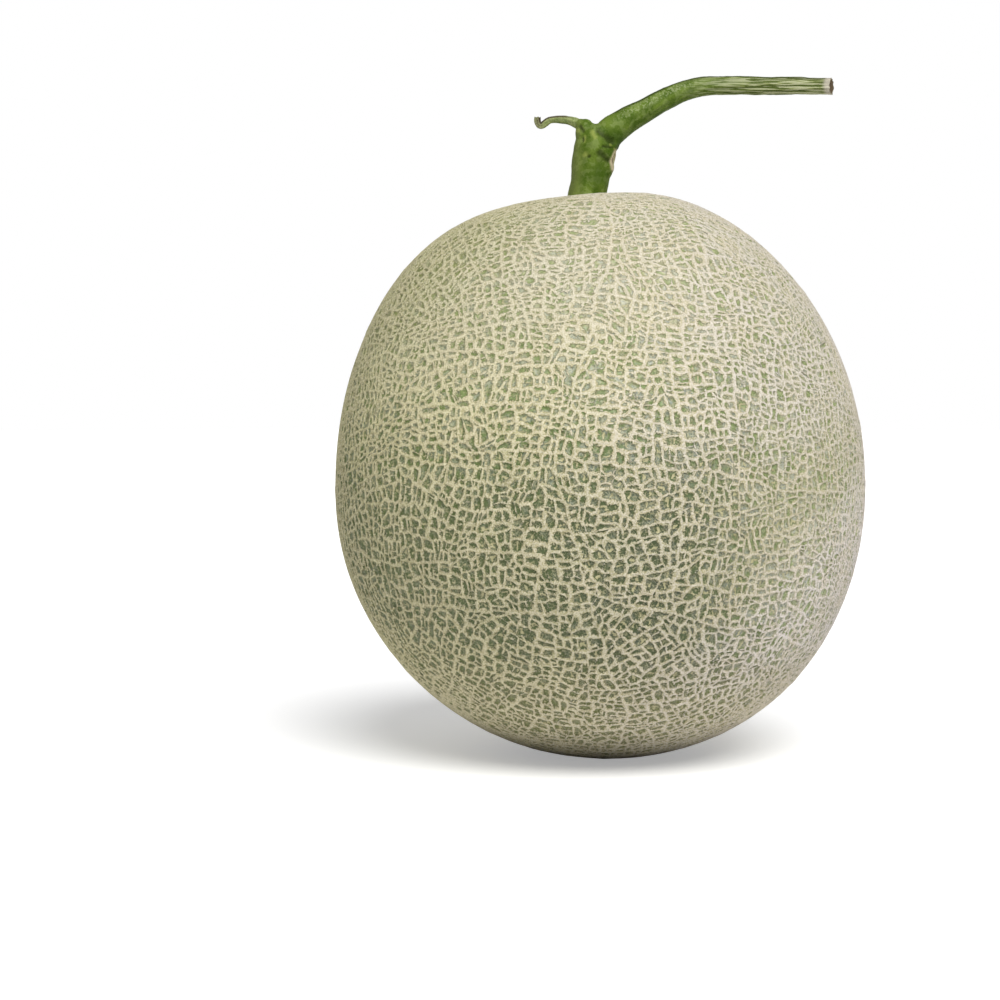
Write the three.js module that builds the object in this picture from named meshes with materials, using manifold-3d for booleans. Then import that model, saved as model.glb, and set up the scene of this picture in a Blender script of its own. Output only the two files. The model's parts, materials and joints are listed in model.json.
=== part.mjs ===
// A netted cantaloupe melon, picked with its stem, standing on its blossom end.
//
// Units are millimetres and +Z is up. The origin is under the middle of the fruit, on the
// surface that it stands on. +X is the way the cut vine points.
//
// The melon comes apart into three pieces:
//   fruit            the round fruit, one solid, with a small flat at its foot
//   stem             the fruit's stalk and the length of vine that it is cut with
//   leaf_stalk_stub  the thin withered stub opposite the vine, where a leaf grew
import * as THREE from "three";
import { mergeVertices } from "three/addons/utils/BufferGeometryUtils.js";
import Module from "manifold-3d";

// ---- driving dimensions -------------------------------------------------------------------

const FRUIT_RADIUS = 75.1; // at the widest height
const CROWN_HEIGHT = 164.2; // where the outside curve would meet the axis, were it not sunk
const WIDEST_HEIGHT = 76.6;
const SQUARENESS = 2.07; // exponent of the profile: 2 is an ellipse, more is fuller
const FOOT_RADIUS = 8; // the flat the melon rests on
const SCAR_RADIUS = 6.6; // the small flat under the stalk
const SINK_DEPTH = 4.8; // how far the crown is flattened, most beside the stalk
const SINK_RADIUS = 28.7;
const SINK_ASIDE = -9.7; // from the axis to where it is flattened most
const DIMPLE_DEPTH = 1.8; // of the hollow that the stalk stands in
const DIMPLE_RADIUS = 9.5;
const LEAN = 3.4; // how far the top leans towards -X and the foot towards +X
const OVAL = 0.35; // how far the round section departs from a circle, in two soft bulges
const OVAL_TURN = 0.45; // where the first bulge is at the widest height, in radians from +X
const FOUR_SIDED = 0.14; // the same for four still softer bulges

const GAP = 0.3; // clearance between neighbouring pieces

const STALK_RADIUS = 5.4;
const NODE_RADIUS = 5.9; // the swelling where the vine leaves the stalk
const VINE_RADIUS = 2.75;
const VINE_LENGTH = 66; // reach of the vine's cut end along +X
const VINE_HEIGHT = 190.2; // of the vine's straight stretch

// ---- shared helpers -----------------------------------------------------------------------

const wasm = await Module();
wasm.setup();

/** A closed geometry as a manifold-3d solid. */
function solidOf(geometry) {
  const bare = geometry.clone();
  bare.deleteAttribute("normal");
  bare.deleteAttribute("uv");
  const merged = mergeVertices(bare, 1e-4);
  return new wasm.Manifold(
    new wasm.Mesh({
      numProp: 3,
      vertProperties: new Float32Array(merged.attributes.position.array),
      triVerts: new Uint32Array(merged.index.array),
    }),
  );
}

/** A manifold-3d solid as a geometry. */
function geometryOf(solid) {
  const mesh = solid.getMesh();
  const geometry = new THREE.BufferGeometry();
  geometry.setAttribute("position", new THREE.BufferAttribute(mesh.vertProperties, 3));
  geometry.setIndex(new THREE.BufferAttribute(mesh.triVerts, 1));
  geometry.computeVertexNormals();
  return geometry;
}

/** Moves each vertex of a geometry to where move(point) puts it. */
function reshape(geometry, move) {
  const position = geometry.attributes.position;
  const point = new THREE.Vector3();
  for (let i = 0; i < position.count; i += 1) {
    point.fromBufferAttribute(position, i);
    move(point);
    position.setXYZ(i, point.x, point.y, point.z);
  }
  return geometry;
}

/**
 * A round rod along a curve that lies in the XZ plane. It is a closed cylinder bent along the
 * curve: radiusAt(t) is its radius at the share t of the curve's length.
 */
function rodAlong(curve, radiusAt, sides, steps) {
  const straight = new THREE.CylinderGeometry(1, 1, 1, sides, steps);
  const across = new THREE.Vector3(0, 1, 0);
  const side = new THREE.Vector3();
  return reshape(straight, (point) => {
    const share = THREE.MathUtils.clamp(point.y + 0.5, 0, 1);
    const middle = curve.getPointAt(share);
    const along = curve.getTangentAt(share);
    side.crossVectors(across, along).normalize();
    const radius = radiusAt(share);
    const { x, z } = point;
    point
      .copy(middle)
      .addScaledVector(side, z * radius)
      .addScaledVector(across, x * radius);
  });
}

/** A smooth function through [share, value] pairs, for a radius that changes along a rod. */
function valueThrough(pairs) {
  return (share) => {
    const next = pairs.findIndex(([at]) => at >= share);
    if (next <= 0) return pairs[0][1];
    const [from, low] = pairs[next - 1];
    const [to, high] = pairs[next];
    return THREE.MathUtils.lerp(low, high, THREE.MathUtils.smoothstep(share, from, to));
  };
}

function curveThrough(points) {
  const corners = points.map(([x, z]) => new THREE.Vector3(x, 0, z));
  return new THREE.CatmullRomCurve3(corners, false, "centripetal");
}

// ---- fruit --------------------------------------------------------------------------------

const FRUIT_SIDES = 56;
const FRUIT_RINGS = 34;

const upperHeight = CROWN_HEIGHT - WIDEST_HEIGHT;
const footShare = (1 - (FOOT_RADIUS / FRUIT_RADIUS) ** SQUARENESS) ** (1 / SQUARENESS);
const lowerHeight = WIDEST_HEIGHT / footShare; // of the full curve, which the foot cuts short

/** Height of the outside above the widest height, at a distance from the axis. */
function profileRise(radius, fullHeight) {
  return fullHeight * (1 - (radius / FRUIT_RADIUS) ** SQUARENESS) ** (1 / SQUARENESS);
}

function shoulderHeight(radius) {
  const dimple = DIMPLE_DEPTH * Math.exp(-((radius / DIMPLE_RADIUS) ** 2));
  return WIDEST_HEIGHT + profileRise(radius, upperHeight) - dimple;
}

/** How far the crown is sunk at a distance from the middle of its flattened patch. */
function sinkAt(distance) {
  return SINK_DEPTH * Math.exp(-((distance / SINK_RADIUS) ** 2));
}

/** Sideways lean of the fruit at a height: none at the widest height, most at both ends. */
function leanAt(height) {
  const rise = (height - WIDEST_HEIGHT) / upperHeight;
  return -LEAN * rise * Math.abs(rise);
}

// The stalk's seat is level, and it leans with the top of the fruit.
const seatHeight = shoulderHeight(SCAR_RADIUS) - sinkAt(SINK_ASIDE);
const seatShift = leanAt(seatHeight);

/** Height of a point of the upper half once the crown is sunk. */
function sunkHeight(point) {
  if (Math.hypot(point.x, point.y) < SCAR_RADIUS + GAP) return seatHeight;
  return point.z - sinkAt(Math.hypot(point.x - SINK_ASIDE, point.y));
}

function makeFruit() {
  const profile = [new THREE.Vector2(0, 0)];
  const foot = Math.acos(FOOT_RADIUS / FRUIT_RADIUS);
  const scar = Math.acos(SCAR_RADIUS / FRUIT_RADIUS);
  for (let ring = 0; ring <= FRUIT_RINGS; ring += 1) {
    const turn = THREE.MathUtils.lerp(-foot, scar, ring / FRUIT_RINGS);
    const radius = FRUIT_RADIUS * Math.cos(turn);
    const height =
      turn < 0 ? WIDEST_HEIGHT - profileRise(radius, lowerHeight) : shoulderHeight(radius);
    profile.push(new THREE.Vector2(radius, Math.max(height, 0))); // never under the foot
  }
  profile.push(new THREE.Vector2(0, shoulderHeight(SCAR_RADIUS)));

  const turned = new THREE.LatheGeometry(profile, FRUIT_SIDES).rotateX(Math.PI / 2);
  return reshape(turned, (point) => {
    if (point.z > WIDEST_HEIGHT) point.z = sunkHeight(point);
    const rise = (point.z - WIDEST_HEIGHT) / upperHeight;
    const fullness = 1 - rise ** 2; // the section is round at both ends
    const angle = Math.atan2(point.y, point.x);
    const bulge =
      OVAL * Math.cos(2 * (angle - OVAL_TURN) + rise) + FOUR_SIDED * Math.cos(4 * angle + rise);
    const stretch = 1 + (bulge * fullness) / FRUIT_RADIUS;
    point.x = point.x * stretch + leanAt(point.z);
    point.y *= stretch;
  });
}

// ---- stem ---------------------------------------------------------------------------------

// The stem's centre line as [x, z]: up the stalk, round the node, and out along the vine.
const STEM_ROUTE = [
  [seatShift - 0.6, seatHeight + GAP],
  [seatShift - 0.6, seatHeight + 3],
  [-2.5, 167.5],
  [-1.3, 172],
  [0.9, 175.6],
  [4.2, 179],
  [8.2, 181.8],
  [12.8, 184.3],
  [18.5, 187.2],
  [24.2, 189.3],
  [30, VINE_HEIGHT],
  [40, VINE_HEIGHT],
  [53, VINE_HEIGHT - 0.1],
  [VINE_LENGTH, VINE_HEIGHT - 0.2],
];

const stemRadius = valueThrough([
  [0, STALK_RADIUS + 0.2],
  [0.06, STALK_RADIUS],
  [0.14, NODE_RADIUS],
  [0.2, 5.2],
  [0.28, 4.4],
  [0.38, 3.7],
  [0.55, VINE_RADIUS + 0.25],
  [0.8, VINE_RADIUS],
  [1, VINE_RADIUS - 0.25],
]);

// The node's shoulder fills the corner between the stalk and the leaf stalk stub.
const SHOULDER = { x: -3.6, z: 174.6, radius: [3.6, 4.4, 4.3] };
// The leaf scar is a low swelling on the vine's side of the stalk.
const LEAF_SCAR = { x: 2.2, z: 170.3, radius: [2.3, 2.6, 3.2] };

function blob({ x, z, radius }) {
  return new THREE.SphereGeometry(1, 20, 12).scale(...radius).translate(x, 0, z);
}

function makeStem() {
  const route = curveThrough(STEM_ROUTE);
  const rod = solidOf(rodAlong(route, stemRadius, 18, 44));
  const joined = rod.add(solidOf(blob(SHOULDER))).add(solidOf(blob(LEAF_SCAR)));
  return geometryOf(joined);
}

// ---- leaf stalk stub ----------------------------------------------------------------------

// Its centre line as [x, z], from the node's shoulder out to the curled, withered tip.
const STUB_ROUTE = [
  [-7.2, 178.6],
  [-8.4, 180.1],
  [-10.2, 180.8],
  [-12.6, 180.9],
  [-14.8, 180.1],
  [-16.2, 179.2],
  [-17.4, 179.6],
  [-17.9, 181.2],
];

const stubRadius = valueThrough([
  [0, 1.25],
  [0.2, 1.15],
  [0.5, 0.85],
  [0.75, 0.9],
  [0.88, 1.25],
  [1, 0.7],
]);

function makeLeafStalkStub() {
  return rodAlong(curveThrough(STUB_ROUTE), stubRadius, 10, 22);
}

// ---- the melon ----------------------------------------------------------------------------

const rind = new THREE.MeshStandardMaterial({ color: 0xbdb797, roughness: 0.75, metalness: 0 });
const greenStem = new THREE.MeshStandardMaterial({ color: 0x5c7d38, roughness: 0.6, metalness: 0 });
const drySkin = new THREE.MeshStandardMaterial({ color: 0x8a8a5a, roughness: 0.8, metalness: 0 });

function piece(name, geometry, material) {
  const mesh = new THREE.Mesh(geometry, material);
  mesh.name = name;
  return mesh;
}

const melon = new THREE.Group();
melon.add(
  piece("fruit", makeFruit(), rind),
  piece("stem", makeStem(), greenStem),
  piece("leaf_stalk_stub", makeLeafStalkStub(), drySkin),
);

export default melon;
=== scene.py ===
"""A netted cantaloupe melon with its stem: the finished surfaces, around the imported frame."""
import json
import math
import random

import bmesh
import bpy
from mathutils import Matrix, Vector, noise
from mathutils.bvhtree import BVHTree
from mathutils.geometry import interpolate_bezier
from mathutils.kdtree import KDTree

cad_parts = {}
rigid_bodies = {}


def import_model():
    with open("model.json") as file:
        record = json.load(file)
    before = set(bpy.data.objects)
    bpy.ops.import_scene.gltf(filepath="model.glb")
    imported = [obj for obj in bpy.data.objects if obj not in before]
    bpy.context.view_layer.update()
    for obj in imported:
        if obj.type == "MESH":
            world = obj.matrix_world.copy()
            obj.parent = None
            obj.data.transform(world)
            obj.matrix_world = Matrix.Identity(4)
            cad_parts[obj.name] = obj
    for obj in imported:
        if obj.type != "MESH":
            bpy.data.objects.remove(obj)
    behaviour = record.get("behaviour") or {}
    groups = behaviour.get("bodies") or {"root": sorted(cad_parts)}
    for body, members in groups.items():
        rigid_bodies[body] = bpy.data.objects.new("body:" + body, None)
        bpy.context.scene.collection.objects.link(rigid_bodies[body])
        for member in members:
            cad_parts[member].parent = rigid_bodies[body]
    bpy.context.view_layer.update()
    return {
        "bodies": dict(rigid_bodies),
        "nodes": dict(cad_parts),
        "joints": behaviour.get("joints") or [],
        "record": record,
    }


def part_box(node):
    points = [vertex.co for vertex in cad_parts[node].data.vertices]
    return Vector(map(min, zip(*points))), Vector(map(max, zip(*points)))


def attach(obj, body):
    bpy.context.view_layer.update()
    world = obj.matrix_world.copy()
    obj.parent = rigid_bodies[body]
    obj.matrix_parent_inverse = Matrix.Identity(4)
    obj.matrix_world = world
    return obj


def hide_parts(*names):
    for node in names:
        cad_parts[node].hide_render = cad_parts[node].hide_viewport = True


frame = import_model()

MM = 0.001
UP, ACROSS = Vector((0, 0, 1)), Vector((0, 1, 0))
noise.seed_set(5)  # without a seed, noise_vector gives other values on every run

# ---- camera ----

CAMERA_PLACE = Vector((0, -700, 115)) * MM
CAMERA_AIM = Vector((-28.4, 0, 73.0)) * MM
LENS_MM, SENSOR_MM = 88.2, 36


def make_camera():
    data = bpy.data.cameras.new("camera")
    data.lens, data.sensor_width = LENS_MM, SENSOR_MM
    camera = bpy.data.objects.new("camera", data)
    camera.location = CAMERA_PLACE
    camera.rotation_euler = (CAMERA_AIM - CAMERA_PLACE).to_track_quat("-Z", "Y").to_euler()
    bpy.context.collection.objects.link(camera)
    bpy.context.scene.camera = camera


# ---- mesh helpers ----

SAME_PLACE = 0.001 * MM  # corners nearer than this are one corner


def smoothstep(low, high, value):
    """0 at low and beyond it, 1 at high and beyond it, and eased between them."""
    share = min(max((value - low) / (high - low), 0), 1)
    return share * share * (3 - 2 * share)


def new_object(name, bm, materials=()):
    """A finished bmesh as a smooth object, with these materials in its slots."""
    mesh = bpy.data.meshes.new(name)
    bm.to_mesh(mesh)
    bm.free()
    mesh.polygons.foreach_set("use_smooth", [True] * len(mesh.polygons))
    for material in materials:
        mesh.materials.append(material)
    piece = bpy.data.objects.new(name, mesh)
    bpy.context.collection.objects.link(piece)
    return piece


def smooth_form(node, levels):
    """The CAD node's surface, smoothed, as a tree that rays can be cast at."""
    bm = bmesh.new()
    bm.from_mesh(frame["nodes"][node].data)
    bmesh.ops.remove_doubles(bm, verts=bm.verts, dist=SAME_PLACE)
    bmesh.ops.join_triangles(
        bm, faces=bm.faces, angle_face_threshold=0.4, angle_shape_threshold=3.0
    )
    form = new_object(node + "_form", bm)
    smoothing = form.modifiers.new("smoothing", "SUBSURF")
    smoothing.levels = smoothing.render_levels = levels
    tree = BVHTree.FromObject(form, bpy.context.evaluated_depsgraph_get())
    bpy.data.objects.remove(form)
    return tree


def fused(bm, voxel):
    """Overlapping closed shapes as one skin of small even faces."""
    joined = new_object("joined", bm)
    remesh = joined.modifiers.new("fusing", "REMESH")
    remesh.mode, remesh.voxel_size = "VOXEL", voxel
    evaluated = joined.evaluated_get(bpy.context.evaluated_depsgraph_get())
    skin = bmesh.new()
    skin.from_mesh(evaluated.to_mesh())
    bpy.data.objects.remove(joined)
    return skin


def relax(bm, verts, factor, rounds):
    """Smooths the corners, each round moving them this share of the way to their neighbours."""
    for _ in range(rounds):
        bmesh.ops.smooth_vert(
            bm, verts=verts, factor=factor, use_axis_x=True, use_axis_y=True, use_axis_z=True
        )


# ---- shader helpers ----


def node(tree, kind, inputs=None, **settings):
    """A new shader node. Each input is given a value, or the socket that feeds it."""
    made = tree.nodes.new("ShaderNode" + kind)
    for name, value in settings.items():
        setattr(made, name, value)
    for name, value in (inputs or {}).items():
        if isinstance(value, bpy.types.NodeSocket):
            tree.links.new(value, made.inputs[name])
        else:
            made.inputs[name].default_value = value
    return made


def maths(tree, operation, *values):
    return node(tree, "Math", dict(enumerate(values)), operation=operation).outputs[0]


def times(tree, share, *others):
    """The product of several masks or numbers."""
    for other in others:
        share = maths(tree, "MULTIPLY", share, other)
    return share


def less(tree, share, amount):
    """A factor that is 1 where the mask is 0, and this much less where it is 1."""
    return maths(tree, "MULTIPLY_ADD", share, -amount, 1.0)


def blend(tree, share, first, second, kind="MIX"):
    inputs = {"Factor": share, "A": first, "B": second}
    return node(tree, "Mix", inputs, data_type="RGBA", blend_type=kind).outputs["Result"]


def tinted(tree, colour, masks, tints):
    """The colour with tints laid over it in turn. Each tint is the name of a mask, how much of
    it to lay on, and its screen colour."""
    for name, amount, tint in tints:
        colour = blend(tree, times(tree, masks[name], amount), colour, srgb(*tint))
    return colour


def ramp(tree, value, low, high, to_low=0.0, to_high=1.0):
    """The value eased from one range to another, and held at both ends."""
    inputs = {
        "Value": value, "From Min": low, "From Max": high, "To Min": to_low, "To Max": to_high
    }
    return node(tree, "MapRange", inputs, interpolation_type="SMOOTHSTEP").outputs["Result"]


def attribute(tree, name):
    return node(tree, "Attribute", attribute_name=name).outputs["Fac"]


def srgb(red, green, blue):
    """A colour given as screen values from 0 to 255."""
    values = [v / 255 for v in (red, green, blue)]
    return (*[v / 12.92 if v <= 0.04045 else ((v + 0.055) / 1.055) ** 2.4 for v in values], 1)


def new_material(name, roughness):
    material = bpy.data.materials.new(name)
    material.use_nodes = True
    tree = material.node_tree
    shader = tree.nodes["Principled BSDF"]
    shader.inputs["Roughness"].default_value = roughness
    place = node(tree, "TexCoord").outputs["Object"]
    return material, tree, shader, place


def finish(tree, shader, colour, height, strength, distance):
    """Feeds the shader its colour, and its fine relief as a bump."""
    tree.links.new(colour, shader.inputs["Base Color"])
    bump = node(tree, "Bump", {"Height": height, "Strength": strength, "Distance": distance})
    tree.links.new(bump.outputs["Normal"], shader.inputs["Normal"])


NOISE_RANGE = (0.32, 0.68)  # most of a noise texture's values lie between these


def patches_group():
    """Soft patches of about one size: 0 between them and 1 on them."""
    group = bpy.data.node_groups.new("patches", "ShaderNodeTree")
    face = group.interface
    for name, kind in (("Vector", "Vector"), ("Size", "Float"), ("Detail", "Float")):
        face.new_socket(name, in_out="INPUT", socket_type="NodeSocket" + kind)
    face.new_socket("Mask", in_out="OUTPUT", socket_type="NodeSocketFloat")
    given = group.nodes.new("NodeGroupInput").outputs
    frequency = maths(group, "DIVIDE", 1.0, given["Size"])
    inputs = {"Vector": given["Vector"], "Scale": frequency, "Detail": given["Detail"]}
    spots = node(group, "TexNoise", inputs).outputs["Fac"]
    made = group.nodes.new("NodeGroupOutput")
    group.links.new(ramp(group, spots, *NOISE_RANGE), made.inputs["Mask"])
    return group


PATCHES = patches_group()


def patches(tree, place, size, detail=2.0, stretch=None):
    """A mask of patches of this size, longer one way if a stretch is given."""
    if stretch:
        place = node(tree, "Mapping", {"Vector": place, "Scale": stretch}).outputs["Vector"]
    inputs = {"Vector": place, "Size": size, "Detail": detail}
    return node(tree, "Group", inputs, node_tree=PATCHES).outputs["Mask"]


# ---- rind: the net's layout ----

FRUIT_LOW, FRUIT_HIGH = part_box("fruit")
FRUIT_MIDDLE = (FRUIT_LOW + FRUIT_HIGH) / 2

FIRST_CUTS = 4  # across each quarter of a face of the cube that the net starts from
FIRST_JITTER = 0.22  # of that cube's corners, least near its top and bottom
CROWN_CELL, FOOT_CELL = 8.8 * MM * MM, 12.4 * MM * MM  # a larger cell cracks again
LARGER = (0.95, 0.25)  # the shares of the height between which that size changes
CELL_SPREAD = (0.36, 1.64)  # times that size, from cell to cell
FINER_RIGHT = (0.32, 15 * MM, 65 * MM)  # how much smaller, and between which places in x
FINER_LEFT = (0.15, -45 * MM, -70 * MM)
FINER_FOOT = (0.24, 0.32, 0.1)  # the same, between which shares of the height
BACK = (0, 55 * MM)  # between which places in y they grow to twice the size

CRACK_WAYS = 6  # how many ways across a cell are tried for each crack
OFF_MIDDLE = 0.15  # how far beside a cell's middle it cracks, as a share of its size
OFF_CORNER = 0.2  # how near a corner it may end, as a share of the side that it ends on
LEAN_COST = 0.32  # how much a crack avoids meeting a side at a slant
SLANT_COST = 0.03  # how much it avoids running at a slant to the net
RUN_TURN = -0.3  # how far the net's run is turned from upright and level, in radians
DRIFT, DRIFT_SIZE = 1.0, 24 * MM  # how far it turns from place to place
UPRIGHT_LEFT, LEVEL_CROWN = 0.1, 0.2  # how much it favours running that way there
UPRIGHT_FROM, LEVEL_FROM = (-10 * MM, -60 * MM), (0.5, 0.85)  # in x, and in share of the height

LONG_RIDGE = 12 * MM  # a longer one follows the fruit in pieces, each about half as long
BENDS = (  # how far and how finely the finished net is bent, the widest bends first
    (2.6 * MM, 26 * MM), (1.3 * MM, 8 * MM), (0.34 * MM, 3 * MM)
)
LEAST_EDGE = 0.68 * MM  # the ends of a shorter one are merged
LONG_EDGE = 4.0 * MM  # a longer one gets a corner in its middle, which sways aside
MIDPOINT_SWAY = 0.2 * MM
LOOSENING = 0.32  # how far the net's corners move towards their neighbours

RIDGE_HALF = 0.69 * MM  # half the width of a ridge at its foot
BELLY_WIDTH, CROWN_WIDER = 0.86, 0.44  # times that width, and how much more at the crown
WIDER = (0.4, 0.9)  # the shares of the height between which that starts
WIDTH_PATCHES = ((0.14, 16 * MM), (0.24, 5 * MM), (0.35, 2.4 * MM))  # how much, how finely
WIDTH_SPREAD = 0.32  # from ridge to ridge
LAST_AGE = 10  # of the newest ridges: how many cracks came before them
OLD_WIDTH, NEW_WIDTH = 1.2, 0.8  # times the usual width
OLD_RISE, NEW_RISE = 1.0, 0.75
FAINT_CELL = 0.8  # only a cell that is less than this part of its size limit has faint ridges
FAINT_SHARE = 0.4  # of the ridges in such cells, how many stay faint, their cork broken up
FAINT_WIDTH, LEAST_BROKEN = 0.8, 0.45  # times the width, and how far the cork is broken up
RIDGE_RISE = 0.56 * MM  # from a floor's edge to a ridge's top
FLOOR_DEPTH = 0.18 * MM  # of the floors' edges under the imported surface
BOWL = 0.3  # how far the middle of a floor lies under its edge, times a ridge's rise

FOOT_CORK = 0.2  # at a ridge's foot: the cork ends part of the way down the ridge
BLUNTEST = 0.6  # limits how far in a ring is moved at a sharp corner
MOST_INWARD = 0.62  # the furthest that it is moved, as a share of the way to the middle
CORNER_ROUNDING = 0.22  # of the roundest cells
CORNER_BITE = 0.72  # how far a floor's corner may be filled in, as a share of the way across
LEAST_SIDE = 0.07 * MM  # a floor's sloping sides are at least this wide, seen from outside
EASINGS = (0, 0.2, 0.4, 0.6)  # how far a floor's outline is moved out, in turn, for that
LEAST_FLOOR = 0.06 * MM * MM  # a cell whose floor would be smaller only has a shallow pit
PIT_INSET = 0.5  # how far in from the cell's outline the pit starts
PIT_RISE, PIT_CORK = 0.45, 0.36
LEAST_HOLLOW = 1.3 * MM * MM  # floors larger than this are hollow
LEAST_THREADED = 2.0 * MM * MM  # floors larger than about this have a thin thread across them
LEAST_BRANCHED = 4.4 * MM * MM
THREAD_SPREAD = (0.6, 1.8)  # times those sizes, from floor to floor
THREAD_TURN, THREAD_ASIDE = 0.35, 0.12  # how far it strays, in radians and in floor sizes
THREAD_SCALE = 10 * MM  # how far from a thread its attribute has changed by 1

FRUIT_FORM = smooth_form("fruit", 2)


def on_fruit(place):
    """The point of the fruit's surface in this direction from its middle, and its normal."""
    point, normal, _, _ = FRUIT_FORM.ray_cast(FRUIT_MIDDLE, place - FRUIT_MIDDLE)
    return point, normal


def first_cells(rng):
    """The large cells that the skin cracks into first: a blown-up cube with divided faces."""
    bm = bmesh.new()
    bmesh.ops.create_cube(bm, size=2)
    bmesh.ops.subdivide_edges(bm, edges=bm.edges, cuts=1, use_grid_fill=True)
    for vert in bm.verts:
        way = vert.co.normalized()
        jitter = Vector([rng.uniform(-1, 1) for _ in range(3)])
        vert.co = (way + FIRST_JITTER * (1 - way.z**2) * jitter).normalized()
    bmesh.ops.subdivide_edges(bm, edges=bm.edges, cuts=FIRST_CUTS)
    for vert in bm.verts:
        vert.co = on_fruit(FRUIT_MIDDLE + vert.co)[0]
    return bm


def height_share(place):
    """0 at the fruit's foot and 1 at its crown."""
    return (place.z - FRUIT_LOW.z) / (FRUIT_HIGH.z - FRUIT_LOW.z)


def cell_limit(place):
    """The size past which a cell still cracks: most round the fruit's belly and at its back."""
    height = height_share(place)
    low = smoothstep(*LARGER, height)
    finer = 0
    parts = (place.x, FINER_RIGHT), (place.x, FINER_LEFT), (height, FINER_FOOT)
    for value, (amount, start, full) in parts:
        finer += amount * smoothstep(start, full, value)
    back = 1 + smoothstep(*BACK, place.y)
    return (CROWN_CELL + (FOOT_CELL - CROWN_CELL) * low) * (1 - finer) * back


def upright_favour(place):
    """How much cracks here favour running up the fruit. Below 0 they favour running round."""
    left = smoothstep(*UPRIGHT_FROM, place.x)
    crown = smoothstep(*LEVEL_FROM, height_share(place))
    return UPRIGHT_LEFT * left - LEVEL_CROWN * crown


def cuts_across(spots, turn, favour):
    """What a crack through the middle of a flat cell costs at this turn, and where it cuts the
    cell's sides. It costs least if it is short, square to them, and along the net's run."""
    cosine, sine = math.cos(turn), math.sin(turn)
    cuts, ends, leans = [], [], 0
    for i, (x, y) in enumerate(spots):
        next_x, next_y = spots[(i + 1) % len(spots)]
        here, there = x * cosine + y * sine, next_x * cosine + next_y * sine
        if here * there < 0:
            share = here / (here - there)
            run_x, run_y = next_x - x, next_y - y
            cuts.append((i, share))
            ends.append((x + share * run_x, y + share * run_y))
            leans += abs(run_y * cosine - run_x * sine) / math.hypot(run_x, run_y)
    if len(cuts) != 2:
        return math.inf, cuts
    length = math.dist(*ends)
    run = 1 + SLANT_COST * math.sin(2 * turn) ** 2 - favour * math.cos(2 * turn)
    return length * (1 + LEAN_COST * leans) * run, cuts


def crack(cell, rng):
    """Splits a cell by a new ridge. Returns the new cell and the ridge, or None for both."""
    middle, normal = cell.calc_center_median_weighted(), cell.normal
    turn = RUN_TURN + DRIFT * noise.noise(middle / DRIFT_SIZE)
    level = UP.cross(normal).normalized()
    level.rotate(Matrix.Rotation(turn, 3, normal))
    upward = normal.cross(level)
    aside = level * rng.gauss(0, OFF_MIDDLE) + upward * rng.gauss(0, OFF_MIDDLE)
    middle += aside * math.sqrt(cell.calc_area())
    spots = [((v.co - middle).dot(level), (v.co - middle).dot(upward)) for v in cell.verts]
    first, favour = rng.random(), upright_favour(middle)
    tries = [
        cuts_across(spots, (first + step) * math.pi / CRACK_WAYS, favour)
        for step in range(CRACK_WAYS)
    ]
    cost, cuts = min(tries)
    if cost == math.inf:
        return None, None
    loops, ends = cell.loops[:], []
    sides = [(loops[i].edge, loops[i].vert, share) for i, share in cuts]
    for edge, vert, share in sides:
        share = min(max(share, OFF_CORNER), 1 - OFF_CORNER)
        ends.append(bmesh.utils.edge_split(edge, vert, share)[1])
    part, loop = bmesh.utils.face_split(cell, *ends)
    return part, loop.edge


def split_evenly(edge, length):
    """Splits an edge into pieces of about this length. Returns the new corners."""
    vert, made = edge.verts[0], []
    for left in range(round(edge.calc_length() / length), 1, -1):
        vert = bmesh.utils.edge_split(edge, vert, 1 / left)[1]
        made.append(vert)
    return made


def crack_all(bm, rng):
    """Cracks the cells again and again until each is small enough. Older ridges grow wider."""
    wide, high, weak = (bm.edges.layers.float.new(name) for name in ("wide", "high", "weak"))
    age = bm.faces.layers.int.new("age")
    for edge in bm.edges:
        edge[wide], edge[high] = OLD_WIDTH, OLD_RISE
    waiting = bm.faces[:]
    while waiting:
        cell = waiting.pop()
        limit = cell_limit(cell.verts[0].co)
        if cell.calc_area() < limit * rng.uniform(*CELL_SPREAD):
            continue
        part, ridge = crack(cell, rng)
        if part is None:
            continue
        cell.normal_update()
        part.normal_update()
        cell[age] = part[age] = cell[age] + 1
        new = min(cell[age] / LAST_AGE, 1)
        spread = math.exp(rng.gauss(0, WIDTH_SPREAD))
        ridge[high] = OLD_RISE + (NEW_RISE - OLD_RISE) * new
        ridge[wide] = (OLD_WIDTH + (NEW_WIDTH - OLD_WIDTH) * new) * spread
        if ridge.calc_length() > LONG_RIDGE:
            for vert in split_evenly(ridge, LONG_RIDGE / 2):
                vert.co = on_fruit(vert.co)[0]
        elif cell.calc_area() < FAINT_CELL * limit and rng.random() < FAINT_SHARE:
            ridge[wide] *= FAINT_WIDTH
            ridge[weak] = rng.uniform(LEAST_BROKEN, 1)
        waiting += [cell, part]


def loosen(bm, rng):
    """Bends the ridges, lets the net pull itself round a little, and drops tiny edges."""
    middles = []
    for edge in bm.edges[:]:
        if edge.calc_length() > LONG_EDGE:
            middles.append(bmesh.utils.edge_split(edge, edge.verts[0], 0.5)[1])
    for vert in middles:
        vert.co += MIDPOINT_SWAY * Vector([rng.gauss(0, 1) for _ in range(3)])
    relax(bm, bm.verts, LOOSENING, 1)
    bmesh.ops.remove_doubles(bm, verts=bm.verts, dist=LEAST_EDGE)
    for vert in bm.verts:
        for far, size in BENDS:
            vert.co += far * noise.noise_vector(vert.co / size)
        vert.co = on_fruit(vert.co)[0]
    bm.normal_update()


# ---- rind: the net's relief ----

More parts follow.
